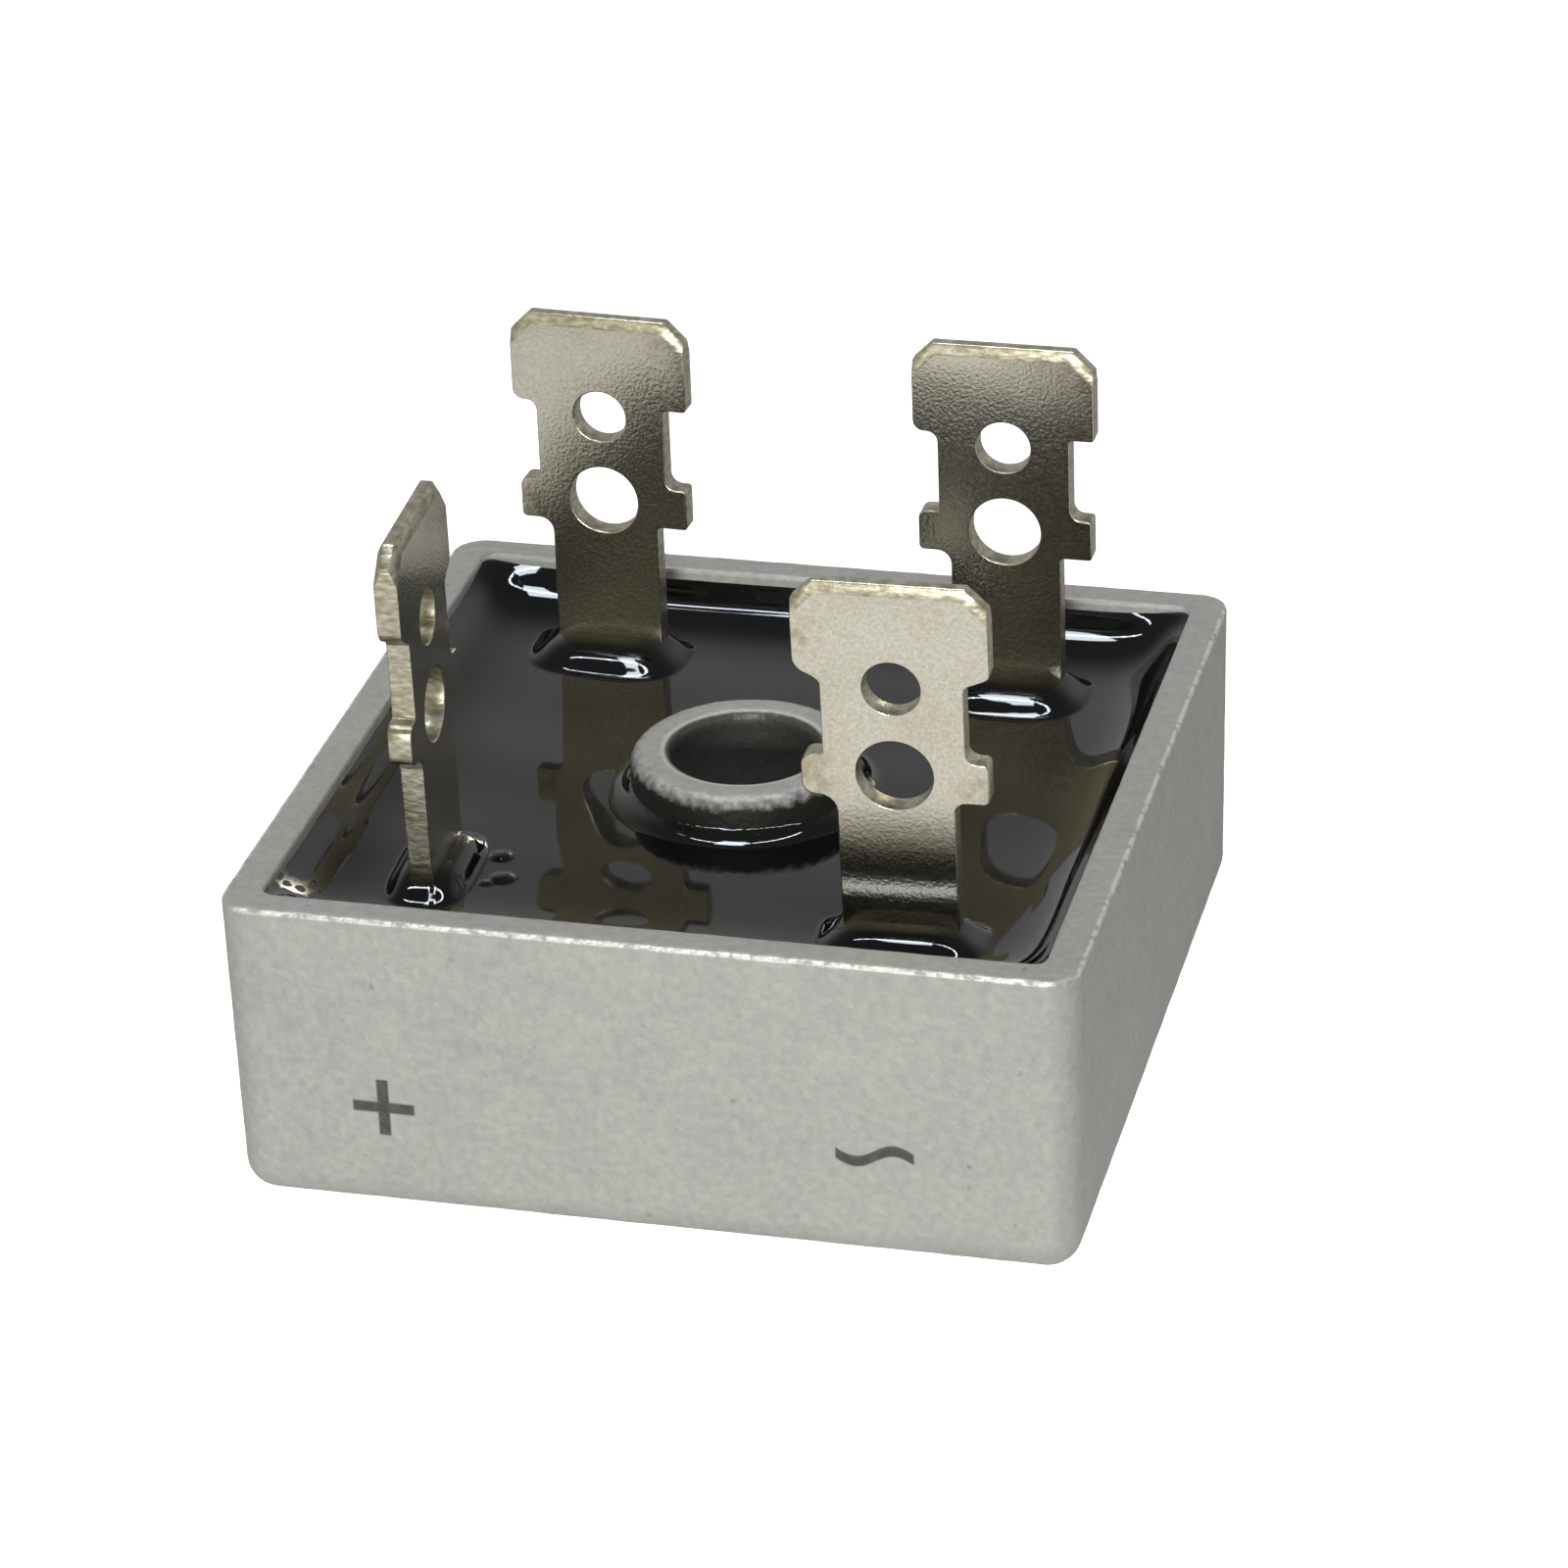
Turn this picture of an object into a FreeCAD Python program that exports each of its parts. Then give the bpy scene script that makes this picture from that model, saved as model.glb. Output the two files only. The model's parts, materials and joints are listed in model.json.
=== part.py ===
import FreeCAD, Part
import os
import Sketcher
from FreeCAD import Placement, Rotation, Vector

# A square bridge rectifier: an open metal case potted in black resin, with a
# screw boss in its middle and four push-on blades, one of them turned.
# +Z is up, the origin is the middle of the flat underside, and the terminals
# are named as seen from the front, which faces -Y.

driving_sizes = {
    # cast case
    "case_side": 28.5,
    "case_height": 11.0,
    "case_draft": 0.1,
    "case_edge_radius": 1.15,
    "rim_edge_radius": 0.15,
    "wall_thickness": 1.25,
    "floor_thickness": 1.8,
    "cavity_edge_radius": 0.4,
    # screw boss in the middle
    "boss_drop": 0.1,
    "boss_top_radius": 3.9,
    "boss_flare": 0.15,
    "boss_edge_radius": 0.45,
    "boss_foot_radius": 0.3,
    "bore_radius": 2.55,
    "bore_chamfer": 0.25,
    # ceramic sheet on the floor
    "sheet_thickness": 0.5,
    "sheet_clearance": 0.2,
    "sheet_hole_clearance": 0.3,
    # copper plates and jumpers
    "creepage": 0.4,
    "plate_thickness": 1.0,
    "plate_end": 3.9,
    "jumper_width": 4.6,
    "jumper_thickness": 0.8,
    # diode chips and their solder
    "chip_side": 5.0,
    "chip_thickness": 0.3,
    "chip_setback": 3.1,
    "solder_thickness": 0.1,
    "solder_inset": 0.15,
    # blades, measured down from their top edge
    "blade_width": 6.35,
    "blade_thickness": 0.8,
    "tip_width": 4.94,
    "tip_corner_drop": 0.7,
    "tip_bevel_drop": 0.38,
    "tip_bevel_depth": 0.2,
    "head_drop": 3.28,
    "neck_width": 4.64,
    "ear_top_drop": 6.3,
    "ear_width": 6.1,
    "ear_bottom_drop": 7.8,
    "stem_width": 3.86,
    "small_hole_drop": 3.7,
    "small_hole_radius": 0.94,
    "large_hole_drop": 6.9,
    "large_hole_radius": 1.25,
    "shoulder_radius": 0.38,
    "ear_corner_radius": 0.3,
    "ear_heel_radius": 0.45,
    "ear_root_radius": 0.6,
    "notch_radius": 0.4,
    "small_corner_radius": 0.1,
    "foot_reach": 2.5,
    "foot_bend_radius": 0.4,
    "blade_bend_height": 9.9,
    # potting resin
    "resin_level": 9.35,
    "wall_meniscus_top": 10.55,
    "wall_meniscus_width": 0.25,
    "wall_meniscus_radius": 1.0,
    "collar_top": 9.95,
    "collar_width": 0.3,
    "collar_radius": 0.5,
}

# Each blade stands as its maker bent it: how far the middle of its stem is from
# the cavity's side and end walls, the height of its top edge, its turn about Z
# and its lean towards its own front, in degrees.
terminal_sizes = {
    "positive": {"side_gap": 4.29, "end_gap": 5.37, "top": 22.5, "turn": 92.3, "lean": -0.9},
    "negative": {"side_gap": 5.7, "end_gap": 4.0, "top": 22.5, "turn": 0.0, "lean": 1.0},
    "ac_left": {"side_gap": 5.75, "end_gap": 3.42, "top": 22.25, "turn": -2.6, "lean": 0.1},
    "ac_right": {"side_gap": 5.42, "end_gap": 3.75, "top": 22.58, "turn": 1.4, "lean": 4.3},
}
terminal_corners = {
    "positive": ("left", "front"),
    "negative": ("right", "back"),
    "ac_left": ("left", "back"),
    "ac_right": ("right", "front"),
}
for terminal, numbers in terminal_sizes.items():
    for what, number in numbers.items():
        driving_sizes["%s_%s" % (terminal, what)] = number

doc = FreeCAD.newDocument("bridge_rectifier")
sheet = doc.addObject("Spreadsheet::Sheet", "sizes")
for row, (alias, number) in enumerate(driving_sizes.items(), start=1):
    sheet.set("A%d" % row, alias)
    sheet.set("B%d" % row, str(number))
    sheet.setAlias("B%d" % row, alias)
doc.recompute()


# Small helpers. A size is an expression on the sheet, so it follows the sheet.
def size(name):
    return "sizes." + name


def total(*terms):
    return "(" + " + ".join(terms) + ")"


def less(first, *others):
    return "(" + " - ".join((first,) + others) + ")"


def half(term):
    return "(%s / 2)" % term


def minus(term):
    return "(-1 * %s)" % term


def value(expression):
    return float(sheet.evalExpression(expression))


close_enough = 1e-4
room = "2"          # how far a cut runs past the solid, so that no skin is left
upright_rise = 1.0  # an edge that rises by more than this is upright
side_on_turn = 45   # a blade turned by more than this stands side-on to the others


def near(first, second):
    return abs(first - second) < close_enough


def add_body(name):
    body = doc.addObject("PartDesign::Body", name)
    body.Label = name
    return body


def add_sketch(body, name, role, height=None):
    sketch = body.newObject("Sketcher::SketchObject", name)
    plane = [item for item in body.Origin.OriginFeatures if item.Role == role][0]
    sketch.AttachmentSupport = [(plane, "")]
    sketch.MapMode = "FlatFace"
    if height is not None:
        sketch.setExpression("AttachmentOffset.Base.z", height)
    return sketch


def hold_point(sketch, geometry, vertex, x, y):
    for kind, expression in (("DistanceX", x), ("DistanceY", y)):
        constraint = Sketcher.Constraint(kind, -1, 1, geometry, vertex, value(expression))
        index = sketch.addConstraint(constraint)
        sketch.setExpression("Constraints[%d]" % index, expression)


def draw_outline(sketch, corners):
    first = sketch.GeometryCount
    points = [Vector(value(x), value(y), 0) for x, y in corners]
    for start, end in zip(points, points[1:] + points[:1]):
        sketch.addGeometry(Part.LineSegment(start, end), False)
    for step, (x, y) in enumerate(corners):
        following = first + (step + 1) % len(corners)
        sketch.addConstraint(Sketcher.Constraint("Coincident", first + step, 2, following, 1))
        hold_point(sketch, first + step, 1, x, y)


def draw_rectangle(sketch, left, right, low, high):
    draw_outline(sketch, [(left, low), (right, low), (right, high), (left, high)])


def draw_square(sketch, half_side):
    draw_rectangle(sketch, minus(half_side), half_side, minus(half_side), half_side)


def draw_circle(sketch, radius, height=None):
    centre = Vector(0, value(height) if height else 0, 0)
    index = sketch.addGeometry(Part.Circle(centre, Vector(0, 0, 1), value(radius)), False)
    if height:
        sketch.addConstraint(Sketcher.Constraint("PointOnObject", index, 3, -2))
        distance = sketch.addConstraint(
            Sketcher.Constraint("DistanceY", -1, 1, index, 3, value(height)))
        sketch.setExpression("Constraints[%d]" % distance, height)
    else:
        sketch.addConstraint(Sketcher.Constraint("Coincident", index, 3, -1, 1))
    limit = sketch.addConstraint(Sketcher.Constraint("Radius", index, value(radius)))
    sketch.setExpression("Constraints[%d]" % limit, radius)


def add_pad(body, name, sketch, length, taper=None, symmetric=False):
    pad = body.newObject("PartDesign::Pad", name)
    pad.Profile = sketch
    pad.setExpression("Length", length)
    if symmetric:
        pad.SideType = "Symmetric"
    if taper:
        pad.setExpression("TaperAngle", taper)
    doc.recompute()
    return pad


def add_pocket(body, name, sketch, length=None, upward=False, both_ways=False):
    before = body.Shape.Volume
    pocket = body.newObject("PartDesign::Pocket", name)
    pocket.Profile = sketch
    pocket.Reversed = upward
    if both_ways:
        pocket.SideType = "Symmetric"
    if length:
        pocket.setExpression("Length", length)
    else:
        pocket.Type = "ThroughAll"
    doc.recompute()
    if body.Shape.Volume > before - close_enough:
        raise RuntimeError(name + " cuts nothing")
    return pocket


def add_edge_feature(body, kind, name, radius, chosen):
    base = body.Tip
    edges = ["Edge%d" % number for number, edge in enumerate(base.Shape.Edges, start=1)
             if chosen(edge)]
    if not edges:
        raise RuntimeError(name + " has no edges")
    feature = body.newObject("PartDesign::" + kind, name)
    feature.Base = (base, edges)
    feature.setExpression("Size" if kind == "Chamfer" else "Radius", radius)
    doc.recompute()
    return feature


def level(edge, height):
    return all(near(vertex.Z, height) for vertex in edge.Vertexes)


def upright(edge):
    first, last = edge.Vertexes[0], edge.Vertexes[-1]
    return abs(first.Z - last.Z) > upright_rise


def circle_of(edge, height, radius):
    box = edge.BoundBox
    return near(box.ZMin, height) and near(box.ZMax, height) and near(box.XMax, radius) \
        and near(box.YMax, radius) and near(box.XMin, -radius)


# Sizes that follow from the driving ones
cavity_half = less(half(size("case_side")), size("wall_thickness"))
sheet_half = less(cavity_half, size("cavity_edge_radius"), size("sheet_clearance"))
plate_outer = less(sheet_half, size("creepage"))
boss_base_radius = total(size("boss_top_radius"), size("boss_flare"))
sheet_hole = total(boss_base_radius, size("boss_foot_radius"), size("sheet_hole_clearance"))
plate_inner = total(sheet_hole, size("creepage"))
arm_middle = half(total(plate_inner, plate_outer))
chip_along = less(size("plate_end"), size("chip_setback"))
jumper_inner = less(arm_middle, half(size("jumper_width")))
jumper_outer = total(arm_middle, half(size("jumper_width")))
jumper_end = total(chip_along, half(size("jumper_width")))
boss_top = less(size("case_height"), size("boss_drop"))
plate_bottom = total(size("floor_thickness"), size("sheet_thickness"))
plate_top = total(plate_bottom, size("plate_thickness"))
chip_bottom = total(plate_top, size("solder_thickness"))
chip_top = total(chip_bottom, size("chip_thickness"))
jumper_bottom = total(chip_top, size("solder_thickness"))
jumper_top = total(jumper_bottom, size("jumper_thickness"))


# Where a blade's stem stands: its gaps are measured from its own corner's walls
def terminal_place(terminal):
    x = less(cavity_half, size(terminal + "_side_gap"))
    y = less(cavity_half, size(terminal + "_end_gap"))
    side, end = terminal_corners[terminal]
    return (minus(x) if side == "left" else x), (minus(y) if end == "front" else y)


# The case: a drafted square block with a square cavity, a hollow boss and
# every outer edge rounded but the rim's, which is only broken.
def make_case():
    body = add_body("case")
    outline = add_sketch(body, "case_outline", "XY_Plane")
    draw_square(outline, less(half(size("case_side")), size("case_draft")))
    draft = "atan(%s / %s)" % (size("case_draft"), size("case_height"))
    add_pad(body, "case_block", outline, size("case_height"), taper=draft)
    add_edge_feature(body, "Fillet", "case_rounding", size("case_edge_radius"),
                     lambda edge: upright(edge) or level(edge, 0))

    cavity = add_sketch(body, "cavity_outline", "XY_Plane", size("case_height"))
    draw_square(cavity, cavity_half)
    depth = less(size("case_height"), size("floor_thickness"))
    add_pocket(body, "cavity", cavity, depth)
    inside = value(cavity_half) + close_enough
    floor = value(size("floor_thickness"))
    add_edge_feature(body, "Fillet", "cavity_rounding", size("cavity_edge_radius"),
                     lambda edge: edge.BoundBox.XMax < inside and edge.BoundBox.XMin > -inside
                     and edge.BoundBox.YMax < inside and edge.BoundBox.YMin > -inside
                     and (upright(edge) or level(edge, floor)) and edge.BoundBox.ZMin > floor / 2)
    top = value(size("case_height"))
    add_edge_feature(body, "Fillet", "rim_rounding", size("rim_edge_radius"),
                     lambda edge: level(edge, top)
                     and max(abs(edge.CenterOfMass.x), abs(edge.CenterOfMass.y)) > inside)

    boss = add_sketch(body, "boss_outline", "XY_Plane", size("floor_thickness"))
    draw_circle(boss, boss_base_radius)
    boss_height = less(boss_top, size("floor_thickness"))
    flare = "-1 * atan(%s / %s)" % (size("boss_flare"), boss_height)
    add_pad(body, "boss", boss, boss_height, taper=flare)
    foot = value(boss_base_radius)
    add_edge_feature(body, "Fillet", "boss_foot", size("boss_foot_radius"),
                     lambda edge: circle_of(edge, floor, foot))
    crown = value(boss_top)
    crown_radius = value(size("boss_top_radius"))
    add_edge_feature(body, "Fillet", "boss_crown", size("boss_edge_radius"),
                     lambda edge: circle_of(edge, crown, crown_radius))

    bore = add_sketch(body, "bore_outline", "XY_Plane")
    draw_circle(bore, size("bore_radius"))
    add_pocket(body, "bore", bore, upward=True)
    bore_radius = value(size("bore_radius"))
    add_edge_feature(body, "Chamfer", "bore_chamfers", size("bore_chamfer"),
                     lambda edge: circle_of(edge, crown, bore_radius)
                     or circle_of(edge, 0, bore_radius))
    return body


# The ceramic sheet that keeps the copper off the case floor
def make_insulating_sheet():
    body = add_body("insulating_sheet")
    outline = add_sketch(body, "sheet_outline", "XY_Plane", size("floor_thickness"))
    draw_square(outline, sheet_half)
    draw_circle(outline, sheet_hole)
    add_pad(body, "sheet", outline, size("sheet_thickness"))
    return body


# An L of copper round one corner of the boss. Its corner is at (-outer, -outer)
# and each arm runs to end; turned half a turn it serves the opposite corner.
def make_corner_plate(name, bottom, thickness, inner, outer, end, turn):
    body = add_body(name)
    outline = add_sketch(body, name + "_outline", "XY_Plane", bottom)
    draw_outline(outline, [
        (minus(outer), minus(outer)),
        (end, minus(outer)),
        (end, minus(inner)),
        (minus(inner), minus(inner)),
        (minus(inner), end),
        (minus(outer), end)])
    add_pad(body, name + "_plate", outline, thickness)
    body.Placement = Placement(Vector(0, 0, 0), Rotation(Vector(0, 0, 1), turn))
    return body


# A square layer of a diode stack, centred on its arm of a plate
def make_stack_layer(name, bottom, thickness, side, x, y):
    layer = doc.addObject("Part::Box", name)
    layer.Label = name
    layer.setExpression("Length", side)
    layer.setExpression("Width", side)
    layer.setExpression("Height", thickness)
    layer.setExpression("Placement.Base.x", less(x, half(side)))
    layer.setExpression("Placement.Base.y", less(y, half(side)))
    layer.setExpression("Placement.Base.z", bottom)
    return layer


def make_diode(place, x, y):
    solder_side = less(size("chip_side"), size("solder_inset"), size("solder_inset"))
    upper_side = less(size("jumper_width"), size("solder_inset"), size("solder_inset"))
    return [
        make_stack_layer("chip_solder_lower_" + place, plate_top, size("solder_thickness"),
                         solder_side, x, y),
        make_stack_layer("diode_chip_" + place, chip_bottom, size("chip_thickness"),
                         size("chip_side"), x, y),
        make_stack_layer("chip_solder_upper_" + place, chip_top, size("solder_thickness"),
                         upper_side, x, y)]


# A blade: a strip bent into a foot below, its outline then punched through it.
# The strip is drawn from its side, about its own middle plane, and faces -Y.
# toward is -1 where the foot points to the blade's front and 1 to its back.
def make_terminal(terminal, foot_bottom, toward):
    name = "terminal_" + terminal
    body = add_body(name)
    top = size(terminal + "_top")
    middle = half(size("blade_thickness"))
    foot_face, far_face = (minus(middle), middle) if toward < 0 else (middle, minus(middle))
    rise = less(top, size("blade_bend_height"))
    shift = minus("(tan(%s) * %s)" % (size(terminal + "_lean") + " * 1 deg", rise))
    bevel_start = less(top, size("tip_bevel_drop"))
    foot_top = total(foot_bottom, size("blade_thickness"))

    def along(face, distance):
        return less(face, distance) if toward < 0 else total(face, distance)

    def inward(face, distance):
        return total(face, distance) if face == minus(middle) else less(face, distance)

    side = add_sketch(body, name + "_side", "YZ_Plane")
    draw_outline(side, [
        (along(foot_face, size("foot_reach")), foot_bottom),
        (far_face, foot_bottom),
        (far_face, size("blade_bend_height")),
        (total(far_face, shift), bevel_start),
        (total(inward(far_face, size("tip_bevel_depth")), shift), top),
        (total(inward(foot_face, size("tip_bevel_depth")), shift), top),
        (total(foot_face, shift), bevel_start),
        (foot_face, size("blade_bend_height")),
        (foot_face, foot_top),
        (along(foot_face, size("foot_reach")), foot_top)])
    add_pad(body, name + "_strip", side, size("blade_width"), symmetric=True)

    def bend_edge(face, height):
        across, up = value(face), value(height)
        return lambda edge: all(near(v.Y, across) and near(v.Z, up) for v in edge.Vertexes)

    add_edge_feature(body, "Fillet", name + "_inner_bend", size("foot_bend_radius"),
                     bend_edge(foot_face, foot_top))
    outer_bend = total(size("foot_bend_radius"), size("blade_thickness"))
    add_edge_feature(body, "Fillet", name + "_outer_bend", outer_bend,
                     bend_edge(far_face, foot_bottom))

    outline = add_sketch(body, name + "_outline", "XZ_Plane")
    tip, full = half(size("tip_width")), half(size("blade_width"))
    neck, ear, stem = half(size("neck_width")), half(size("ear_width")), half(size("stem_width"))
    corner = less(top, size("tip_corner_drop"))
    head = less(top, size("head_drop"))
    ear_top, ear_bottom = less(top, size("ear_top_drop")), less(top, size("ear_bottom_drop"))
    for flip in (minus, lambda term: term):
        draw_outline(outline, [
            (flip(tip), top),
            (flip(tip), total(top, room)),
            (flip(total(full, room)), total(top, room)),
            (flip(total(full, room)), corner),
            (flip(full), corner)])
        draw_outline(outline, [
            (flip(total(full, room)), head),
            (flip(neck), head),
            (flip(neck), ear_top),
            (flip(ear), ear_top),
            (flip(ear), ear_bottom),
            (flip(stem), ear_bottom),
            (flip(stem), less(foot_bottom, room)),
            (flip(total(full, room)), less(foot_bottom, room))])
    draw_circle(outline, size("small_hole_radius"), less(top, size("small_hole_drop")))
    draw_circle(outline, size("large_hole_radius"), less(top, size("large_hole_drop")))
    add_pocket(body, name + "_punch", outline, both_ways=True)

    # the punch leaves soft corners on the left and at the right notch
    def punched_edges(*corners):
        places = [(value(x), value(z)) for x, z in corners]
        return lambda edge: any(
            all(near(v.X, x) and near(v.Z, z) for v in edge.Vertexes) for x, z in places)

    roundings = {
        "shoulder_radius": [(minus(full), head), (minus(neck), head)],
        "ear_corner_radius": [(minus(ear), ear_top)],
        "ear_heel_radius": [(minus(ear), ear_bottom)],
        "ear_root_radius": [(minus(stem), ear_bottom)],
        "notch_radius": [(neck, ear_top)],
        "small_corner_radius": [(full, head), (ear, ear_top), (ear, ear_bottom),
                                (stem, ear_bottom), (minus(neck), ear_top)],
    }
    for radius, corners in roundings.items():
        add_edge_feature(body, "Fillet", name + "_" + radius, size(radius),
                         punched_edges(*corners))
    seat_terminal(body, terminal)

    solder = add_body("foot_solder_" + terminal)
    pad_outline = add_sketch(solder, "foot_solder_outline_" + terminal, "XY_Plane",
                             less(foot_bottom, size("solder_thickness")))
    heel = along(far_face, outer_bend)
    toe = along(foot_face, less(size("foot_reach"), size("solder_inset")))
    edge_half = less(stem, size("solder_inset"))
    draw_rectangle(pad_outline, minus(edge_half), edge_half, toe, heel)
    add_pad(solder, "foot_solder_pad_" + terminal, pad_outline, size("solder_thickness"))
    seat_terminal(solder, terminal)
    return [body, solder]


def seat_terminal(body, terminal):
    x, y = terminal_place(terminal)
    body.setExpression("Placement.Base.x", x)
    body.setExpression("Placement.Base.y", y)
    body.Placement.Rotation = Rotation(Vector(0, 0, 1), value(size(terminal + "_turn")))
    body.setExpression("Placement.Rotation.Angle", size(terminal + "_turn") + " * 1 deg")


# The resin: poured to one level, climbing the walls, and drawn up in a collar
# round the boss and each stem. What it is poured over is then cut from it.
def make_resin(poured_over):
    body = add_body("resin_pour")
    block = add_sketch(body, "resin_outline", "XY_Plane", half(size("floor_thickness")))
    draw_square(block, total(cavity_half, half(size("wall_thickness"))))
    draw_circle(block, half(total(size("bore_radius"), size("boss_top_radius"))))
    pour_height = less(size("wall_meniscus_top"), half(size("floor_thickness")))
    add_pad(body, "resin_block", block, pour_height)

    dish_half = less(cavity_half, size("wall_meniscus_width"))
    dish = add_sketch(body, "dish_outline", "XY_Plane", size("wall_meniscus_top"))
    draw_square(dish, dish_half)
    add_pocket(body, "dish", dish, less(size("wall_meniscus_top"), size("resin_level")))
    surface = value(size("resin_level"))
    wall_side = value(dish_half)

    def at_wall(edge):
        centre = edge.CenterOfMass
        return level(edge, surface) and near(max(abs(centre.x), abs(centre.y)), wall_side)

    add_edge_feature(body, "Fillet", "wall_meniscus", size("wall_meniscus_radius"), at_wall)

    collars = add_sketch(body, "collar_outlines", "XY_Plane", size("resin_level"))
    draw_circle(collars, total(boss_base_radius, size("collar_width")))
    draw_circle(collars, half(total(size("bore_radius"), size("boss_top_radius"))))
    across = total(half(size("stem_width")), size("collar_width"))
    through = total(half(size("blade_thickness")), size("collar_width"))
    for terminal in terminal_sizes:
        x, y = terminal_place(terminal)
        side_on = abs(terminal_sizes[terminal]["turn"]) > side_on_turn
        x_half, y_half = (through, across) if side_on else (across, through)
        draw_rectangle(collars, less(x, x_half), total(x, x_half),
                       less(y, y_half), total(y, y_half))
    add_pad(body, "collars", collars, less(size("collar_top"), size("resin_level")))
    add_edge_feature(body, "Fillet", "collar_meniscus", size("collar_radius"),
                     lambda edge: level(edge, surface) and edge.BoundBox.ZMax < surface + close_enough
                     and max(abs(edge.CenterOfMass.x), abs(edge.CenterOfMass.y))
                     < wall_side - value(size("wall_meniscus_radius")) - close_enough
                     and edge.BoundBox.DiagonalLength > value(size("blade_thickness"))
                     and not circle_of(edge, surface, value(
                         half(total(size("bore_radius"), size("boss_top_radius"))))))

    tools = doc.addObject("Part::MultiFuse", "what_the_resin_covers")
    tools.Shapes = poured_over
    resin = doc.addObject("Part::Cut", "potting_resin")
    resin.Label = "potting_resin"
    resin.Base = body
    resin.Tool = tools
    doc.recompute()
    return resin


case = make_case()
parts = [case, make_insulating_sheet()]
parts.append(make_corner_plate("positive_plate", plate_bottom, size("plate_thickness"),
                               plate_inner, plate_outer, size("plate_end"), 0))
parts.append(make_corner_plate("negative_plate", plate_bottom, size("plate_thickness"),
                               plate_inner, plate_outer, size("plate_end"), 180))
parts.append(make_corner_plate("ac_jumper_left", jumper_bottom, size("jumper_thickness"),
                               jumper_inner, jumper_outer, jumper_end, -90))
parts.append(make_corner_plate("ac_jumper_right", jumper_bottom, size("jumper_thickness"),
                               jumper_inner, jumper_outer, jumper_end, 90))
parts += make_diode("left", minus(arm_middle), chip_along)
parts += make_diode("front", chip_along, minus(arm_middle))
parts += make_diode("right", arm_middle, minus(chip_along))
parts += make_diode("back", minus(chip_along), arm_middle)
on_plate = total(plate_top, size("solder_thickness"))
on_jumper = total(jumper_top, size("solder_thickness"))
parts += make_terminal("positive", on_plate, -1)
parts += make_terminal("negative", on_plate, -1)
parts += make_terminal("ac_left", on_jumper, -1)
parts += make_terminal("ac_right", on_jumper, 1)
doc.recompute()
parts.append(make_resin(list(parts)))

# Check everything before anything is written
for item in doc.Objects:
    if "Invalid" in item.State or "Error" in item.State:
        raise RuntimeError(item.Name + " did not compute")
for piece in parts:
    shape = piece.Shape
    if shape.isNull() or not shape.isValid() or len(shape.Solids) != 1:
        raise RuntimeError("%s is not one sound solid" % piece.Label)

os.makedirs("parts", exist_ok=True)
for piece in parts:
    piece.Shape.exportStep("parts/%s.step" % piece.Label)
    print("%-24s %9.3f mm3" % (piece.Label, piece.Shape.Volume))
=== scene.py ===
import json
import math
import bmesh
import bpy
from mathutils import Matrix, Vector


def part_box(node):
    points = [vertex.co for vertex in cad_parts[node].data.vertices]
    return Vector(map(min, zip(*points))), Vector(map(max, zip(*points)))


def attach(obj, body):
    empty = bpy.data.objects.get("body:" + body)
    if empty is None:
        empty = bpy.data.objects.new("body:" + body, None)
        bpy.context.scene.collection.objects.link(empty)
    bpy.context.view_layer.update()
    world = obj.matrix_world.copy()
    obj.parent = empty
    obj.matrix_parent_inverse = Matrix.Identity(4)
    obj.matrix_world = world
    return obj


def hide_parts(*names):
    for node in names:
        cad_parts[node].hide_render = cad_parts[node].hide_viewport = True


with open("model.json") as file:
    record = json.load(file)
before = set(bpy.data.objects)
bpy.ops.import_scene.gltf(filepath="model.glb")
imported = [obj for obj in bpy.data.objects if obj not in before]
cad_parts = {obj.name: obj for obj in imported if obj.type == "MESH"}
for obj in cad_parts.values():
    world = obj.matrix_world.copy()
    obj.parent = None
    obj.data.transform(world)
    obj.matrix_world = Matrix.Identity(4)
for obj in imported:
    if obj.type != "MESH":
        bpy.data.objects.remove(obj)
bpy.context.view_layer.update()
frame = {"nodes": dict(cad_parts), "record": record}
mm = 0.001
print("frame loaded")


# Small tools: selecting, editing, joining and colouring
def pickOnly(piece):
    bpy.ops.object.select_all(action="DESELECT")
    piece.select_set(True)
    bpy.context.view_layer.objects.active = piece


def settle(piece):
    # the place goes into the mesh, so the object itself sits at the origin
    pickOnly(piece)
    bpy.ops.object.transform_apply(location=True, rotation=True, scale=True)


def addBox(name, low, high):
    bpy.ops.object.select_all(action="DESELECT")
    low, high = Vector(low) * mm, Vector(high) * mm
    bpy.ops.mesh.primitive_cube_add(size=1, location=(low + high) / 2, scale=high - low)
    piece = bpy.context.object
    piece.name = name
    settle(piece)
    return piece


def addRound(name, lowRadius, highRadius, low, high, sides):
    bpy.ops.object.select_all(action="DESELECT")
    bpy.ops.mesh.primitive_cone_add(
        vertices=sides, radius1=lowRadius * mm, radius2=highRadius * mm,
        depth=(high - low) * mm, location=(0, 0, (low + high) / 2 * mm))
    piece = bpy.context.object
    piece.name = name
    settle(piece)
    return piece


def choose(piece, kind, test):
    # in edit mode: selects the vertices, edges or faces that pass the test
    bpy.ops.mesh.select_mode(type=kind)
    bpy.ops.mesh.select_all(action="DESELECT")
    shape = bmesh.from_edit_mesh(piece.data)
    for item in {"VERT": shape.verts, "EDGE": shape.edges, "FACE": shape.faces}[kind]:
        if test(item):
            item.select_set(True)
    bmesh.update_edit_mesh(piece.data)


def edit(piece):
    pickOnly(piece)
    bpy.ops.object.mode_set(mode="EDIT")


def leaveEdit():
    bpy.ops.object.mode_set(mode="OBJECT")


def bevelChosen(width, segments):
    bpy.ops.mesh.bevel(offset=width * mm, offset_type="OFFSET", segments=segments,
                       profile=0.5, affect="EDGES", clamp_overlap=False)


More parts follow.
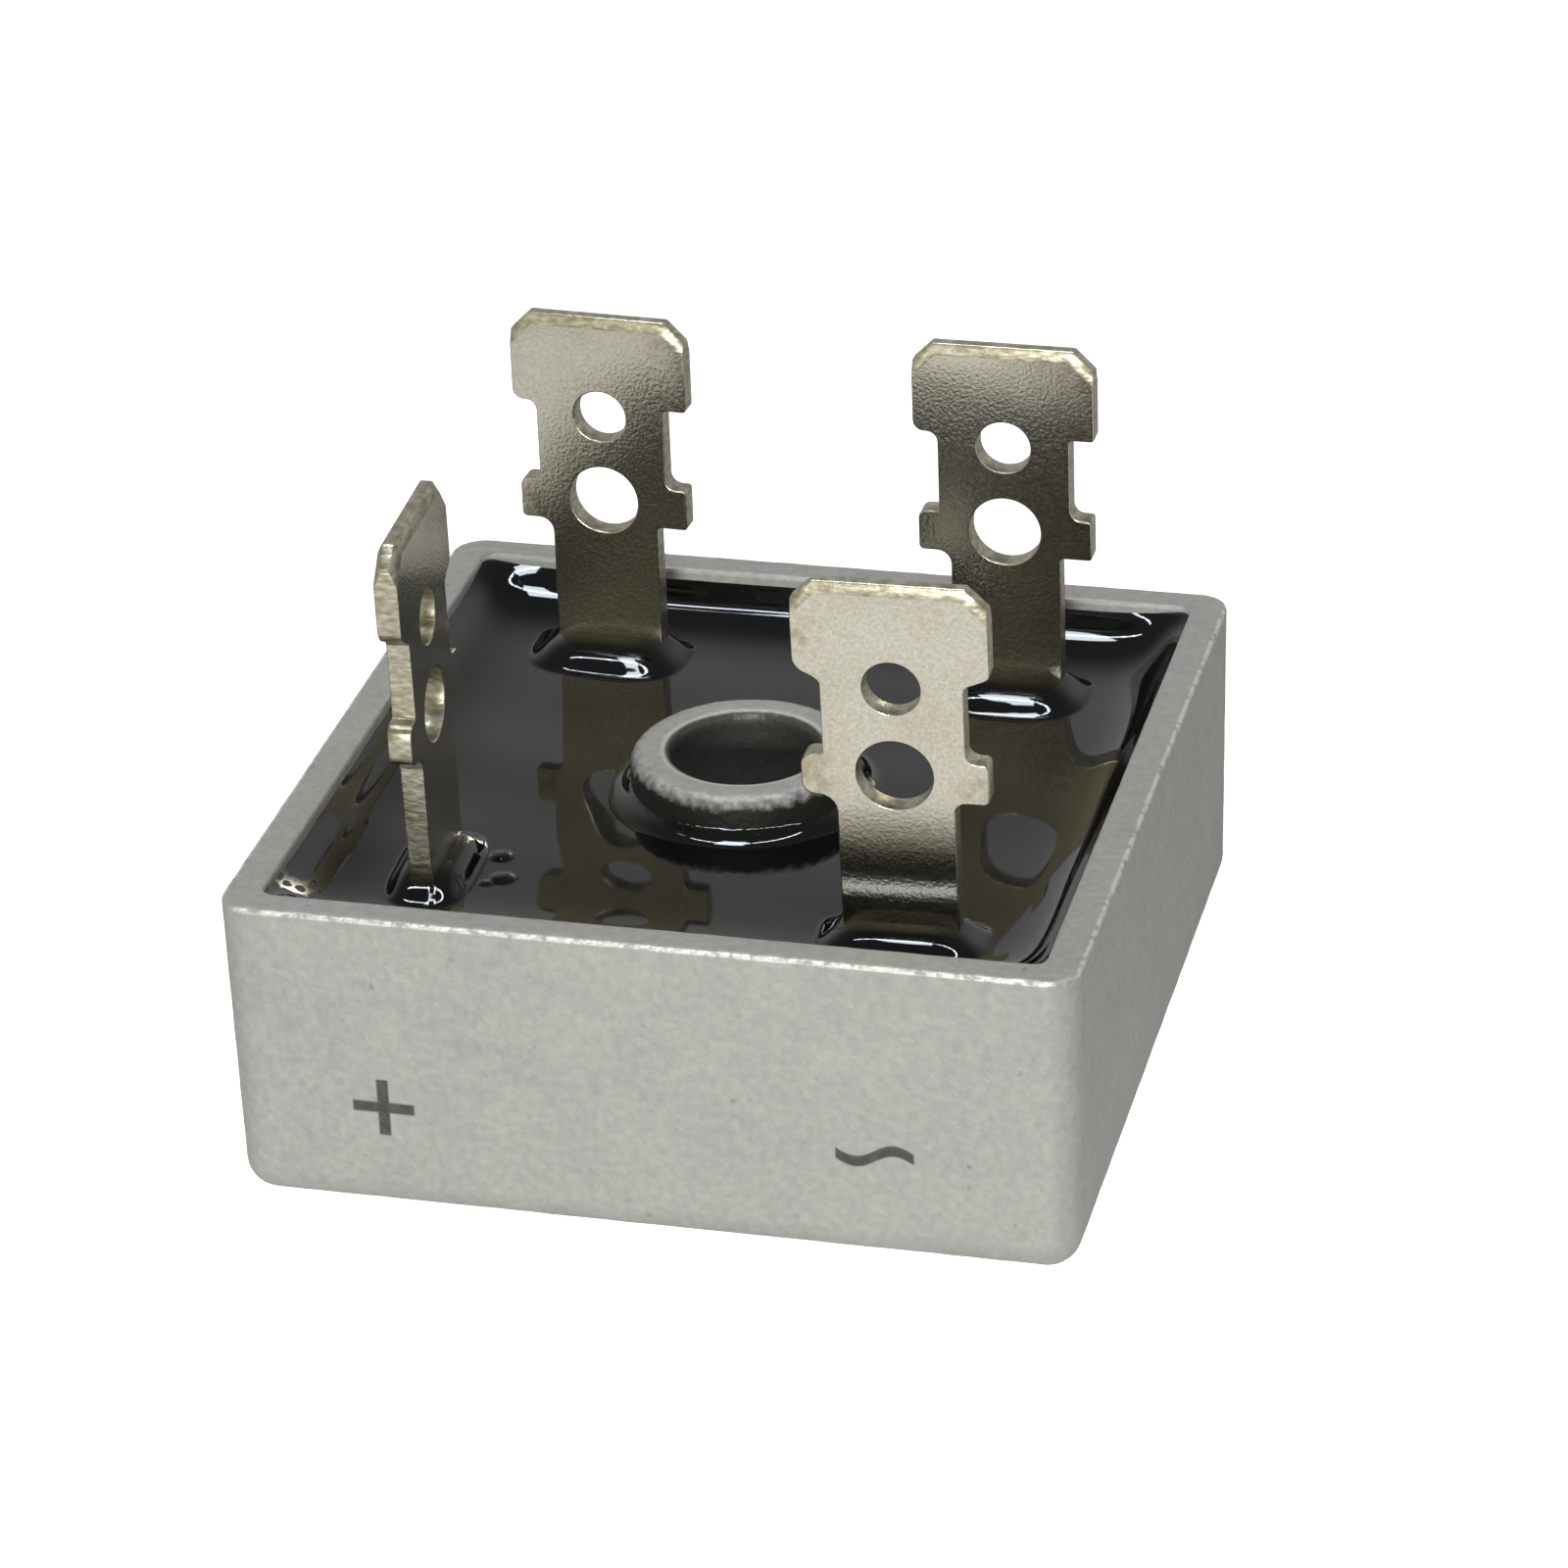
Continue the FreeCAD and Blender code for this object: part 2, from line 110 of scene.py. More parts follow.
def combine(piece, tool, operation):
    change = piece.modifiers.new("combine", "BOOLEAN")
    change.operation = operation
    change.solver = "EXACT"
    change.object = tool
    pickOnly(piece)
    bpy.ops.object.modifier_apply(modifier=change.name)
    bpy.data.objects.remove(tool, do_unlink=True)


def close(first, second):
    # the same to a hundredth of a millimetre
    return abs(first - second) < 0.01 * mm


def linearColour(hexText):
    parts = [int(hexText[i:i + 2], 16) / 255 for i in (1, 3, 5)]
    return [c / 12.92 if c <= 0.04045 else ((c + 0.055) / 1.055) ** 2.4 for c in parts] + [1]


def perMetre(sizeInMm):
    # a texture's scale for features of this size
    return 1 / (sizeInMm * mm)


def addNode(tree, kind, values=None, links=None):
    node = tree.nodes.new(kind)
    for key, value in (values or {}).items():
        if isinstance(key, str) and hasattr(node, key):
            setattr(node, key, value)
        else:
            node.inputs[key].default_value = value
    for key, socket in (links or {}).items():
        tree.links.new(socket, node.inputs[key])
    return node


def startMaterial(name):
    material = bpy.data.materials.new(name)
    material.use_nodes = True
    tree = material.node_tree
    place = tree.nodes.new("ShaderNodeTexCoord").outputs["Object"]
    return material, tree, tree.nodes["Principled BSDF"], place


def useMaterial(piece, *materials):
    piece.data.materials.clear()
    for material in materials:
        piece.data.materials.append(material)


# Camera: the photograph's own view, aimed at a point just above the resin
view = {
    "aim": (0.26, 4.07, 7.4),
    "distance": 204.9,
    "azimuth": 14.66,
    "elevation": 27.61,
    "roll": -2.05,
    "lens": 135.2,
}


def addCamera():
    azimuth, elevation = math.radians(view["azimuth"]), math.radians(view["elevation"])
    back = Vector((math.sin(azimuth) * math.cos(elevation),
                   -math.cos(azimuth) * math.cos(elevation), math.sin(elevation)))
    bpy.ops.object.camera_add(location=(Vector(view["aim"]) + back * view["distance"]) * mm)
    camera = bpy.context.object
    turn = (-back).to_track_quat("-Z", "Y").to_matrix().to_4x4()
    place = camera.matrix_world.translation.copy()
    camera.matrix_world = turn
    camera.rotation_euler.rotate_axis("Z", math.radians(view["roll"]))
    camera.location = place
    camera.data.lens = view["lens"]
    camera.data.sensor_width = 36
    camera.data.clip_start = 0.01
    bpy.context.scene.camera = camera


addCamera()
print("camera placed")


# Case: die-cast aluminium, with its hollow boss
caseFacts = {
    "draft": 0.1,
    "edgeRadius": 1.15,
    "rimRadius": 0.14,
    "wall": 1.25,
    "floor": 1.8,
    "cavityRadius": 0.4,
    "bossDrop": 0.1,
    "bossRadius": 3.9,
    "bossFlare": 0.15,
    "bossEdge": 0.45,
    "boreRadius": 2.55,
    "boreChamfer": 0.25,
    "skinStep": 0.6,          # spacing of the cuts that let the skin move
    "skinGrain": 1.1,
    "skinDepth": 0.035,
}
caseLow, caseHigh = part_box("case")
caseSide = (caseHigh[0] - caseLow[0]) / mm
caseHeight = caseHigh[2] / mm
cavityHalf = caseSide / 2 - caseFacts["wall"]
bossTop = caseHeight - caseFacts["bossDrop"]


def makeCase():
    facts = caseFacts
    half = caseSide / 2
    case = addBox("castCase", (-half, -half, 0), (half, half, caseHeight))
    edit(case)
    choose(case, "FACE", lambda face: face.normal.z < -0.5)
    shrink = (half - facts["draft"]) / half
    bpy.ops.transform.resize(value=(shrink, shrink, 1), center_override=(0, 0, 0))
    choose(case, "EDGE", lambda edge: min(v.co.z for v in edge.verts) < mm)
    bevelChosen(facts["edgeRadius"], 9)
    leaveEdit()

    cavity = addBox("cavity", (-cavityHalf, -cavityHalf, facts["floor"]),
                    (cavityHalf, cavityHalf, caseHeight + 2))
    edit(cavity)
    choose(cavity, "EDGE", lambda edge: close(edge.verts[0].co.x, edge.verts[1].co.x)
           and close(edge.verts[0].co.y, edge.verts[1].co.y))
    bevelChosen(facts["cavityRadius"], 4)
    leaveEdit()
    combine(case, cavity, "DIFFERENCE")

    boss = addRound("boss", facts["bossRadius"] + facts["bossFlare"], facts["bossRadius"],
                    facts["floor"] / 2, bossTop, 96)
    edit(boss)
    choose(boss, "EDGE", lambda edge: all(close(v.co.z, bossTop * mm) for v in edge.verts))
    bevelChosen(facts["bossEdge"], 6)
    leaveEdit()
    combine(case, boss, "UNION")
    bore = addRound("bore", facts["boreRadius"], facts["boreRadius"], -2, caseHeight + 2, 96)
    combine(case, bore, "DIFFERENCE")

    edit(case)
    bpy.ops.mesh.remove_doubles(threshold=0.001 * mm)
    onBore = (facts["boreRadius"] + 0.02) * mm
    choose(case, "EDGE", lambda edge: all(v.co.xy.length < onBore for v in edge.verts)
           and close(edge.verts[0].co.z, edge.verts[1].co.z))
    bevelChosen(facts["boreChamfer"], 2)
    choose(case, "EDGE", lambda edge: all(close(v.co.z, caseHeight * mm) for v in edge.verts)
           and edge.calc_face_angle(0) > 0.5)
    bevelChosen(facts["rimRadius"], 2)
    # a grid of cuts over every face, so that the cast skin can undulate
    steps = int(half / facts["skinStep"])
    for step in range(-steps, steps + 1):
        for across in ((1, 0, 0), (0, 1, 0), (0, 0, 1)):
            place = Vector(across) * step * facts["skinStep"] * mm
            if across[2] and not 0 < place.z < caseHeight * mm:
                continue
            bpy.ops.mesh.select_all(action="SELECT")
            bpy.ops.mesh.bisect(plane_co=place, plane_no=across, threshold=0.0005 * mm)
    leaveEdit()

    fine = case.modifiers.new("fine", "SUBSURF")
    fine.subdivision_type = "SIMPLE"
    fine.levels = fine.render_levels = 1
    clouds = bpy.data.textures.new("castSkin", "CLOUDS")
    clouds.noise_scale = facts["skinGrain"] * mm
    clouds.noise_depth = 2
    skin = case.modifiers.new("skin", "DISPLACE")
    skin.texture = clouds
    skin.texture_coords = "LOCAL"
    skin.strength = facts["skinDepth"] * mm
    pickOnly(case)
    bpy.ops.object.modifier_apply(modifier=fine.name)
    bpy.ops.object.modifier_apply(modifier=skin.name)
    bpy.ops.object.shade_smooth_by_angle(angle=math.radians(38))
    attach(case, "root")
    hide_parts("case")
    return case


castCase = makeCase()
print("case made", len(castCase.data.polygons))


# Blades: stamped strip, nickel plated, 6.35 by 0.8 mm, measured down from the top edge
bladeFacts = {
    "width": 6.35,
    "thickness": 0.8,
    "tipWidth": 4.94,
    "tipCornerDrop": 0.7,
    "tipBevelDrop": 0.38,
    "tipBevelDepth": 0.2,
    "headDrop": 3.28,
    "neckWidth": 4.64,
    "earTopDrop": 6.3,
    "earWidth": 6.1,
    "earBottomDrop": 7.8,
    "stemWidth": 3.86,
    "smallHole": (3.7, 0.94),      # drop and radius
    "largeHole": (6.9, 1.25),
    "shoulderRadius": 0.38,
    "notchRadius": 0.4,
    "smallRadius": 0.1,
    "footReach": 2.5,
    "footBend": 0.4,
    "bendHeight": 9.9,
    "arris": 0.055,                # the soft edge that stamping and plating leave
    "blankLength": 16,             # before the stem is cut to its own foot
    "flatNormal": 0.93,            # a face that looks less across the blade is an edge
}
# how the punched corners look: crisp, or rounded and a little slanted by tumbling
cornerLooks = {
    "crisp": {"rise": 0, "sink": 0, "ear": 0.3, "heel": 0.15, "root": 0.5, "right": 0.1,
              "rightRoot": 0.1},
    "rounded": {"rise": 0.13, "sink": 0.25, "ear": 0.42, "heel": 0.45, "root": 0.6,
                "right": 0.16, "rightRoot": 0.38},
}
# each blade's middle, top height, turn and lean in degrees, the way its foot points, its
# corners, how far the resin's mound reaches past the stem's ends, its front and its back, and
# the press line's lower, middle and upper height and how far it stands out
bladePlaces = {
    "terminal_positive": {"at": (-8.71, -7.63), "top": 22.5, "turn": 92.3, "lean": -0.9,
                          "foot": -1, "corners": "rounded", "mound": (0.8, 1.05, 1.05)},
    "terminal_negative": {"at": (7.3, 9.0), "top": 22.5, "turn": 0, "lean": 1.0,
                          "foot": -1, "corners": "crisp", "mound": (1.0, 2.1, 0.7)},
    "terminal_ac_left": {"at": (-7.25, 9.58), "top": 22.25, "turn": -2.6, "lean": 0.1,
                         "foot": -1, "corners": "crisp", "mound": (1.0, 2.1, 0.7)},
    "terminal_ac_right": {"at": (7.58, -9.25), "top": 22.58, "turn": 1.4, "lean": 4.3,
                          "foot": 1, "corners": "rounded", "mound": (1.0, 1.5, 1.0),
                          "pressLine": (10.5, 10.72, 11.0, 0.05)},
}


def trim(place, outward):
    # in edit mode: cuts off what lies beyond a plane and closes the cut
    bpy.ops.mesh.select_all(action="SELECT")
    bpy.ops.mesh.bisect(plane_co=place * mm, plane_no=outward.normalized(), use_fill=True,
                        clear_outer=True, threshold=0.0005 * mm)


def makeBladeBlank(corners):
    # the straight punched strip, its top edge at z = 0 and its middle plane at y = 0
    facts = bladeFacts
    full, half = facts["width"] / 2, facts["thickness"] / 2
    neck, ear, stem = facts["neckWidth"] / 2, facts["earWidth"] / 2, facts["stemWidth"] / 2
    low = -facts["blankLength"]
    holes = (facts["smallHole"], facts["largeHole"])
    blank = addBox("bladeBlank", (-full, -half, low), (full, half, 0))
    edit(blank)
    for drop, _ in holes:
        # a cut through each hole's middle keeps the faces round it simple
        bpy.ops.mesh.select_all(action="SELECT")
        bpy.ops.mesh.bisect(plane_co=(0, 0, -drop * mm), plane_no=(0, 0, 1),
                            threshold=0.0005 * mm)
    leaveEdit()
    for side in (-1, 1):
        # each lower notch starts inside the one above, so that no two cuts share a plane
        for inner, top, bottom in ((neck, -facts["headDrop"], -facts["earTopDrop"]),
                                   (ear, -(facts["headDrop"] + facts["earTopDrop"]) / 2, low - 1),
                                   (stem, -facts["earBottomDrop"], low - 2)):
            ends = sorted((side * inner, side * (full + 1)))
            notch = addBox("notch", (ends[0], -2, bottom), (ends[1], 2, top))
            combine(blank, notch, "DIFFERENCE")
    for drop, radius in holes:
        punch = addRound("punch", radius, radius, -2, 2, 64)
        punch.rotation_euler.x = math.pi / 2
        punch.location.z = -drop * mm
        settle(punch)
        combine(blank, punch, "DIFFERENCE")

    edit(blank)
    bpy.ops.mesh.remove_doubles(threshold=0.001 * mm)
    tip, corner = facts["tipWidth"] / 2, facts["tipCornerDrop"]
    bevelDrop, bevelDepth = facts["tipBevelDrop"], facts["tipBevelDepth"]
    slope = math.hypot(full - tip, corner)
    for side in (-1, 1):
        out = Vector((side * corner / slope, 0, (full - tip) / slope))
        trim(Vector((side * full, 0, -corner)), out)
        for face in (-1, 1):
            lean = out * bevelDepth + Vector((0, face * bevelDrop, 0))
            trim(Vector((side * full, face * half, -corner)) - out * bevelDrop, lean)
    for face in (-1, 1):
        trim(Vector((0, face * half, -bevelDrop)), Vector((0, face * bevelDrop, bevelDepth)))
    head, earTop, earBottom = facts["headDrop"], facts["earTopDrop"], facts["earBottomDrop"]
    small, shoulder = facts["smallRadius"], facts["shoulderRadius"]
    outer, inner = head - corners["rise"], head + corners["sink"]
    for x, drop in ((-full, outer), (full, outer), (-neck, inner), (neck, inner)):
        choose(blank, "VERT", lambda v: close(v.co.x, x * mm) and close(v.co.z, -head * mm))
        bpy.ops.transform.translate(value=(0, 0, (head - drop) * mm))
    for x, drop, radius in (
            (-full, outer, shoulder), (-neck, inner, shoulder), (-neck, earTop, small),
            (-ear, earTop, corners["ear"]), (-ear, earBottom, corners["heel"]),
            (-stem, earBottom, corners["root"]), (full, outer, corners["right"]),
            (neck, inner, corners["right"]), (neck, earTop, facts["notchRadius"]),
            (ear, earTop, corners["right"]), (ear, earBottom, corners["right"]),
            (stem, earBottom, corners["rightRoot"])):
        choose(blank, "EDGE", lambda edge: all(
            close(v.co.x, x * mm) and close(v.co.z, -drop * mm) for v in edge.verts))
        bevelChosen(radius, 5 if radius > 0.2 else 2)
    bpy.ops.mesh.select_all(action="SELECT")
    bpy.ops.mesh.normals_make_consistent(inside=False)
    leaveEdit()
    return blank


def makeBlade(name, blank):
    facts, place = bladeFacts, bladePlaces[name]
    half = facts["thickness"] / 2
    blade = blank.copy()
    blade.data = blank.data.copy()
    blade.name = name + "_blade"
    bpy.context.collection.objects.link(blade)
    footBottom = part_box(name)[0][2] / mm
    bendStart = footBottom + facts["footBend"] + facts["thickness"]
    edit(blade)
    # shorten the stem to its own foot, then bend and draw out the foot
    bpy.ops.mesh.select_all(action="SELECT")
    bpy.ops.transform.translate(value=(0, 0, place["top"] * mm))
    trim(Vector((0, 0, bendStart)), Vector((0, 0, -1)))
    choose(blade, "FACE", lambda face: face.normal.z < -0.99 and
           face.calc_center_median().z < (bendStart + 0.1) * mm)
    side = place["foot"]
    bpy.ops.mesh.spin(steps=6, angle=side * math.pi / 2, axis=(1, 0, 0),
                      center=(0, side * (half + facts["footBend"]) * mm, bendStart * mm))
    bpy.ops.mesh.extrude_region_move(TRANSFORM_OT_translate={
        "value": (0, side * (facts["footReach"] - facts["footBend"]) * mm, 0)})
    bpy.ops.mesh.select_all(action="SELECT")
    bpy.ops.mesh.remove_doubles(threshold=0.001 * mm)
    bpy.ops.mesh.normals_make_consistent(inside=False)
    # a cut at the bend, so that only what is above it leans
    bpy.ops.mesh.bisect(plane_co=(0, 0, facts["bendHeight"] * mm), plane_no=(0, 0, 1),
                        threshold=0.0005 * mm)
    if "pressLine" in place:
        # the faint ridge that the bending tool left across the stem
        lower, crest, upper, out = place["pressLine"]
        for height in (lower, crest, upper):
            bpy.ops.mesh.select_all(action="SELECT")
            bpy.ops.mesh.bisect(plane_co=(0, 0, height * mm), plane_no=(0, 0, 1),
                                threshold=0.0005 * mm)
        choose(blade, "VERT", lambda v: close(v.co.z, crest * mm))
        bpy.ops.transform.translate(value=(0, -out * mm, 0))
    leaveEdit()
    lean = math.tan(math.radians(place["lean"]))
    for vertex in blade.data.vertices:
        above = vertex.co.z - facts["bendHeight"] * mm
        if above > 0:
            vertex.co.y -= lean * above

    arris = blade.modifiers.new("arris", "BEVEL")
    arris.width = facts["arris"] * mm
    arris.segments = 3
    arris.limit_method = "ANGLE"
    arris.angle_limit = math.radians(35)
    arris.use_clamp_overlap = False
    pickOnly(blade)
    bpy.ops.object.modifier_apply(modifier=arris.name)
    bpy.ops.object.shade_smooth_by_angle(angle=math.radians(40))
    # the flat faces keep true normals, so they mirror flat
    even = blade.modifiers.new("even", "WEIGHTED_NORMAL")
    even.keep_sharp = True
    even.weight = 100
    bpy.ops.object.modifier_apply(modifier=even.name)
    shearedFaces[name] = [face.index for face in blade.data.polygons
                          if abs(face.normal.y) < facts["flatNormal"]]
    blade.rotation_euler.z = math.radians(place["turn"])
    blade.location = (place["at"][0] * mm, place["at"][1] * mm, 0)
    settle(blade)
    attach(blade, "root")
    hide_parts(name)
    return blade


shearedFaces = {}      # each blade's edges, holes' walls and tip bevels, for their own material
bladeBlanks = {look: makeBladeBlank(corners) for look, corners in cornerLooks.items()}
blades = {name: makeBlade(name, bladeBlanks[place["corners"]])
          for name, place in bladePlaces.items()}
for blank in bladeBlanks.values():
    bpy.data.objects.remove(blank, do_unlink=True)
print("blades made", [len(blade.data.polygons) for blade in blades.values()])


# Resin: poured black epoxy that has crept up the walls, the boss and the stems
resinFacts = {
    "level": 9.35,
    "cells": 272,
    "wallRise": 1.35,
    "wallReach": 0.85,
    "stemRise": 0.72,
    "bossRise": 0.5,
    "bossSpread": 0.8,
    "topGap": 0.12,                 # the resin stops this far under the rim
    "softFrom": 0.6,                # the share of the rise at which the limit sets in
    "moundCorner": 3.4,             # 2 makes a mound an ellipse, and more squares it off
    "moundShoulder": 5,             # more keeps its top flat for longer
    "bossFall": 2.2,
    "bubbleRise": 0.32,             # over the bubble's radius
    "swell": 0.012,
    "swellLength": 9.0,
    "swellShift": (1.7, -0.6),      # so that no swell is centred on the boss
    "swellWarp": 0.7,
    "swellStretch": 1.3,
    "bubbles": ((-6.87, -6.3, 0.38), (-6.4, -7.75, 0.4), (-6.85, -8.2, 0.2)),
}


def moundRise(x, y, place):
    # a rounded mound about one stem: 1 at the stem, falling to 0 at its foot
    turn = math.radians(place["turn"])
    dx, dy = x - place["at"][0], y - place["at"][1]
    ends, front, back = place["mound"]
    along = dx * math.cos(turn) + dy * math.sin(turn)
    across = dy * math.cos(turn) - dx * math.sin(turn)
    u = abs(along) / (bladeFacts["stemWidth"] / 2 + ends)
    v = abs(across) / (bladeFacts["thickness"] / 2 + (back if across > 0 else front))
    corner = resinFacts["moundCorner"]
    reach = (u ** corner + v ** corner) ** (1 / corner)
    return (1 - reach ** resinFacts["moundShoulder"]) ** 2 if reach < 1 else 0


def resinHeight(x, y):
    facts = resinFacts
    rise = 0
    for across in (x, y):
        fromWall = max(cavityHalf - abs(across), 0)
        rise += facts["wallRise"] * math.exp(-fromWall / facts["wallReach"])
    beyond = (math.hypot(x, y) - caseFacts["bossRadius"]) / facts["bossSpread"]
    if beyond < 1:
        rise += facts["bossRise"] * (1 - max(beyond, 0)) ** facts["bossFall"]
    for place in bladePlaces.values():
        rise += facts["stemRise"] * moundRise(x, y, place)
    for bubbleX, bubbleY, radius in facts["bubbles"]:
        inside = 1 - ((x - bubbleX) ** 2 + (y - bubbleY) ** 2) / radius ** 2
        if inside > 0:
            rise += radius * facts["bubbleRise"] * math.sqrt(inside)
    turnX, turnY = (2 * math.pi * (c + shift) / facts["swellLength"]
                    for c, shift in zip((x, y), facts["swellShift"]))
    rise += facts["swell"] * (math.sin(turnX + facts["swellWarp"] * math.sin(turnY))
                              + math.cos(facts["swellStretch"] * turnY))
    most = caseHeight - facts["topGap"] - facts["level"]
    free = most * facts["softFrom"]
    if rise > free:
        # a soft limit, so that the corners run up to the rim and no further
        spare = most * (1 - facts["softFrom"])
        rise = most - spare * math.exp(-(rise - free) / spare)
    return facts["level"] + rise


def makeResin():
    facts = resinFacts
    bpy.ops.object.select_all(action="DESELECT")
    bpy.ops.mesh.primitive_grid_add(
        x_subdivisions=facts["cells"], y_subdivisions=facts["cells"], size=cavityHalf * 2 * mm,
        location=(0, 0, facts["level"] * mm))
    resin = bpy.context.object
    resin.name = "resinPour"
    settle(resin)
    edit(resin)
    holeRadius = (caseFacts["bossRadius"] - 0.1) * mm
    choose(resin, "FACE", lambda face: face.calc_center_median().xy.length < holeRadius)
    bpy.ops.mesh.delete(type="FACE")
    # the outer and inner edges are drawn down to the floor and joined there
    choose(resin, "EDGE", lambda edge: edge.is_boundary)
    bpy.ops.mesh.extrude_edges_move(TRANSFORM_OT_translate={
        "value": (0, 0, (caseFacts["floor"] - facts["level"]) * mm)})
    bpy.ops.mesh.bridge_edge_loops()
    bpy.ops.mesh.select_all(action="SELECT")
    bpy.ops.mesh.normals_make_consistent(inside=False)
    leaveEdit()
    cell = cavityHalf * 2 / facts["cells"] * mm
    for vertex in resin.data.vertices:
        radius = vertex.co.xy.length
        if radius < holeRadius + cell * 0.75:
            # the hole's ragged edge is drawn on to the boss
            vertex.co.xy *= holeRadius / radius
        if vertex.co.z > facts["level"] * mm - cell:
            vertex.co.z = resinHeight(vertex.co.x / mm, vertex.co.y / mm) * mm
    pickOnly(resin)
    bpy.ops.object.shade_smooth_by_angle(angle=math.radians(60))
    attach(resin, "root")
    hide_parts("potting_resin")
    return resin


resinPour = makeResin()
print("resin made", len(resinPour.data.polygons))


# Materials
# printed marks: what, the face's side (-1 is the front), its middle across, its height, span
markFacts = {
    "marks": (("plus", -1, -8.9, 4.0, 2.1), ("wave", -1, 7.6, 4.0, 2.6),
              ("wave", 1, -7.3, 4.0, 2.6), ("minus", 1, 7.3, 4.0, 2.1)),
    "stroke": 0.4,
    "waveHeight": 0.25,
    "softness": 0.035,
    "faceAt": -13.9,          # print lies further out than this
}


def printedMark(tree, spot, mark):
    # 1 inside one printed mark, 0 outside; spot is the place in millimetres
    kind, side, across, up, span = mark
    facts = markFacts
    half = facts["stroke"] / 2
    soft = facts["softness"]
    local = addNode(tree, "ShaderNodeVectorMath", {"operation": "SUBTRACT", 1: (across, 0, up)},
                    {0: spot})
    axes = addNode(tree, "ShaderNodeSeparateXYZ", None, {0: local.outputs[0]})
    x, z = axes.outputs["X"], axes.outputs["Z"]
    if kind == "wave":
        angle = addNode(tree, "ShaderNodeMath", {
            "operation": "MULTIPLY", 1: -side * 2 * math.pi / span}, {0: x})
        swing = addNode(tree, "ShaderNodeMath", {"operation": "SINE"}, {0: angle.outputs[0]})
        z = addNode(tree, "ShaderNodeMath", {
            "operation": "MULTIPLY_ADD", 1: -facts["waveHeight"]},
            {0: swing.outputs[0], 2: z}).outputs[0]
    sizes = [addNode(tree, "ShaderNodeMath", {"operation": "ABSOLUTE"}, {0: axis}).outputs[0]
             for axis in (x, z)]
    wide, thin = sizes
    if kind == "plus":
        wide = addNode(tree, "ShaderNodeMath", {"operation": "MAXIMUM"},
                       {0: sizes[0], 1: sizes[1]}).outputs[0]
        thin = addNode(tree, "ShaderNodeMath", {"operation": "MINIMUM"},
                       {0: sizes[0], 1: sizes[1]}).outputs[0]
    result = None
    outward = addNode(tree, "ShaderNodeMath", {"operation": "MULTIPLY", 1: -side},
                      {0: axes.outputs["Y"]}).outputs[0]
    for distance, edge in ((wide, span / 2), (thin, half), (outward, facts["faceAt"])):
        inside = addNode(tree, "ShaderNodeMapRange", {
            "From Min": edge + soft, "From Max": edge - soft}, {"Value": distance}).outputs[0]
        result = inside if result is None else addNode(
            tree, "ShaderNodeMath", {"operation": "MULTIPLY"}, {0: result, 1: inside}).outputs[0]
    return result


castLooks = {
    "darkShade": "#AEAEA9",
    "paleShade": "#C3C3BC",
    "pit": "#6E6E6A",
    # pale rubbed metal, which is also a painted highlight on the rim's outer edge
    "rubbedAndHighlight": "#E9E8E0",
    # dark resin film on the boss's foot, also used as painted shade in the bore
    "filmAndShade": "#24231D",
    "print": "#3C3C39",
    "grain": 0.3,
    "mottle": 2.2,
    "pitSize": 0.55,
}
# where the cast metal looks otherwise: what is measured in mm from the bore's axis or the
# underside, where it sets in and is full, and its strength at both
castAreas = {
    # rubbed metal along the outer edge of the rim, where its paleness is also a painted highlight,
    # and round the mouth of the bore
    "rim": (("reach", 14.08, 14.15, 0, 1), ("height", 10.84, 10.9, 0, 1),
            ("grain", 0.36, 0.52, 0, 1)),
    "mouth": (("radius", 2.95, 2.8, 0, 1), ("height", 10.55, 10.7, 0, 0.7)),
    # a film of resin that has wetted the foot of the boss, up to a ragged line
    "foot": (("radius", 3.4, 3.7, 0, 1), ("radius", 4.6, 4.3, 0, 1),
             ("raggedHeight", 11.44, 10.94, 0, 1)),
    # painted shade on the bore's wall, made dull and dark with the film's colour, most so at its
    # mouth
    "bore": (("radius", 2.78, 2.68, 0, 1), ("height", 10.4, 6, 0.92, 0.1)),
}


